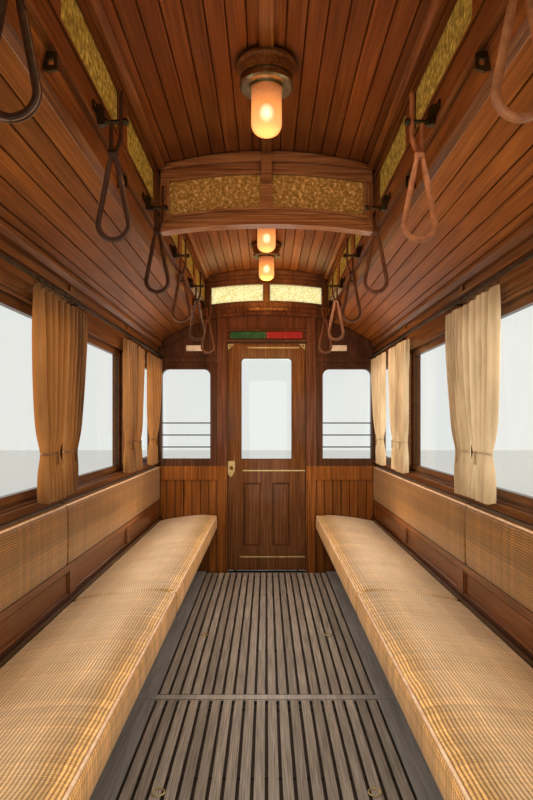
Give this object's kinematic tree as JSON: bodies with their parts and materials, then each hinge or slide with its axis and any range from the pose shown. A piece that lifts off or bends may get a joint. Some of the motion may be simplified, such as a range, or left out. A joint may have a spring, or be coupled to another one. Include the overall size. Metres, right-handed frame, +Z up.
{
  "type": "tram passenger saloon",
  "caption": "Wooden tram saloon with raised clerestory roof, facing benches, slatted floor, curtained windows, sliding end doors and swinging hand straps.",
  "frame": {"origin": "centre of the saloon, on the plane of the sole bars' undersides", "axes": "+Y along the saloon towards its front bulkhead, +X to the right, +Z up"},
  "size_m": [2.144, 4.96, 2.897],
  "materials": {
    "varnished_mahogany": "dark varnished",
    "varnished_pine": "varnished boards",
    "worn_floor_wood": "worn, unvarnished",
    "deck_linoleum": "dull dark grey",
    "oak_frame": "oiled oak",
    "window_glass": "clear",
    "amber_glass": "cathedral, rolled",
    "opal_glass": "frosted, lit from inside",
    "polished_brass": "polished, worn",
    "forged_steel": "dark, oiled",
    "bronze_fitting": "dull bronze",
    "woven_cane": "varnished woven cane",
    "curtain_cotton": "heavy cotton",
    "tan_leather": "stitched, polished by hands",
    "blank_plate": "enamelled",
    "destination_enamel": "enamelled, blank"
  },
  "bodies": {
    "saloon": {"arch_glass": "amber_glass", "bulkhead_front": "varnished_mahogany", "bulkhead_glass": "window_glass", "bulkhead_rear": "varnished_mahogany", "ceiling_casing": "varnished_mahogany", "clerestory_glass": "amber_glass", "clerestory_roof": "varnished_pine", "clerestory_side_left": "varnished_mahogany", "clerestory_side_right": "varnished_mahogany", "cord_eyes": "bronze_fitting", "curtain_rods": "bronze_fitting", "curtains_left": "curtain_cotton", "curtains_right": "curtain_cotton", "destination_boards": "destination_enamel", "door_track_front": "forged_steel", "door_track_rear": "forged_steel", "floor_deck": "deck_linoleum", "floor_frame": "oak_frame", "guard_rods": "forged_steel", "lamp_collars": "polished_brass", "lamp_glasses": "opal_glass", "lamp_roses": "varnished_mahogany", "mid_arch": "varnished_mahogany", "notice_plates": "blank_plate", "quarter_roof_left": "varnished_pine", "quarter_roof_right": "varnished_pine", "seat_backs_left": "woven_cane", "seat_backs_right": "woven_cane", "seat_cushions_left": "woven_cane", "seat_cushions_right": "woven_cane", "seat_frame_left": "varnished_mahogany", "seat_frame_right": "varnished_mahogany", "seat_panel_left": "varnished_mahogany", "seat_panel_right": "varnished_mahogany", "seat_risers": "varnished_mahogany", "side_glass": "window_glass", "side_sashes": "varnished_mahogany", "side_wall_left": "varnished_mahogany", "side_wall_right": "varnished_mahogany", "slat_mat_front": "worn_floor_wood", "slat_mat_rear": "worn_floor_wood", "strap_hangers": "bronze_fitting"},
    "front_door": {"door_brass_front": "polished_brass", "door_front": "varnished_mahogany", "door_glass_front": "window_glass"},
    "rear_door": {"door_brass_rear": "polished_brass", "door_glass_rear": "window_glass", "door_rear": "varnished_mahogany"},
    "hand_strap_left_1": {"strap_left_1": "tan_leather"},
    "hand_strap_left_2": {"strap_left_2": "tan_leather"},
    "hand_strap_left_3": {"strap_left_3": "tan_leather"},
    "hand_strap_left_4": {"strap_left_4": "tan_leather"},
    "hand_strap_left_5": {"strap_left_5": "tan_leather"},
    "hand_strap_left_6": {"strap_left_6": "tan_leather"},
    "hand_strap_right_1": {"strap_right_1": "tan_leather"},
    "hand_strap_right_2": {"strap_right_2": "tan_leather"},
    "hand_strap_right_3": {"strap_right_3": "tan_leather"},
    "hand_strap_right_4": {"strap_right_4": "tan_leather"},
    "hand_strap_right_5": {"strap_right_5": "tan_leather"},
    "hand_strap_right_6": {"strap_right_6": "tan_leather"}
  },
  "joints": [
    {"name": "front_door_slide", "type": "slide", "parent": "saloon", "child": "front_door", "axis": [1, 0, 0], "range_m": [0, 0.66]},
    {"name": "rear_door_slide", "type": "slide", "parent": "saloon", "child": "rear_door", "axis": [1, 0, 0], "range_m": [0, 0.66]},
    {"name": "strap_left_1_swing", "type": "hinge", "parent": "saloon", "child": "hand_strap_left_1", "pos_m": [-0.48, -1.78, 2.45], "axis": [1, 0, 0], "range_deg": [-55, 55]},
    {"name": "strap_left_2_swing", "type": "hinge", "parent": "saloon", "child": "hand_strap_left_2", "pos_m": [-0.48, -1.034, 2.45], "axis": [1, 0, 0], "range_deg": [-55, 55]},
    {"name": "strap_left_3_swing", "type": "hinge", "parent": "saloon", "child": "hand_strap_left_3", "pos_m": [-0.48, -0.288, 2.45], "axis": [1, 0, 0], "range_deg": [-55, 55]},
    {"name": "strap_left_4_swing", "type": "hinge", "parent": "saloon", "child": "hand_strap_left_4", "pos_m": [-0.48, 0.458, 2.45], "axis": [1, 0, 0], "range_deg": [-55, 55]},
    {"name": "strap_left_5_swing", "type": "hinge", "parent": "saloon", "child": "hand_strap_left_5", "pos_m": [-0.48, 1.204, 2.45], "axis": [1, 0, 0], "range_deg": [-55, 55]},
    {"name": "strap_left_6_swing", "type": "hinge", "parent": "saloon", "child": "hand_strap_left_6", "pos_m": [-0.48, 1.95, 2.45], "axis": [1, 0, 0], "range_deg": [-55, 55]},
    {"name": "strap_right_1_swing", "type": "hinge", "parent": "saloon", "child": "hand_strap_right_1", "pos_m": [0.48, -1.78, 2.45], "axis": [1, 0, 0], "range_deg": [-55, 55]},
    {"name": "strap_right_2_swing", "type": "hinge", "parent": "saloon", "child": "hand_strap_right_2", "pos_m": [0.48, -1.034, 2.45], "axis": [1, 0, 0], "range_deg": [-55, 55]},
    {"name": "strap_right_3_swing", "type": "hinge", "parent": "saloon", "child": "hand_strap_right_3", "pos_m": [0.48, -0.288, 2.45], "axis": [1, 0, 0], "range_deg": [-55, 55]},
    {"name": "strap_right_4_swing", "type": "hinge", "parent": "saloon", "child": "hand_strap_right_4", "pos_m": [0.48, 0.458, 2.45], "axis": [1, 0, 0], "range_deg": [-55, 55]},
    {"name": "strap_right_5_swing", "type": "hinge", "parent": "saloon", "child": "hand_strap_right_5", "pos_m": [0.48, 1.204, 2.45], "axis": [1, 0, 0], "range_deg": [-55, 55]},
    {"name": "strap_right_6_swing", "type": "hinge", "parent": "saloon", "child": "hand_strap_right_6", "pos_m": [0.48, 1.95, 2.45], "axis": [1, 0, 0], "range_deg": [-55, 55]}
  ]
}
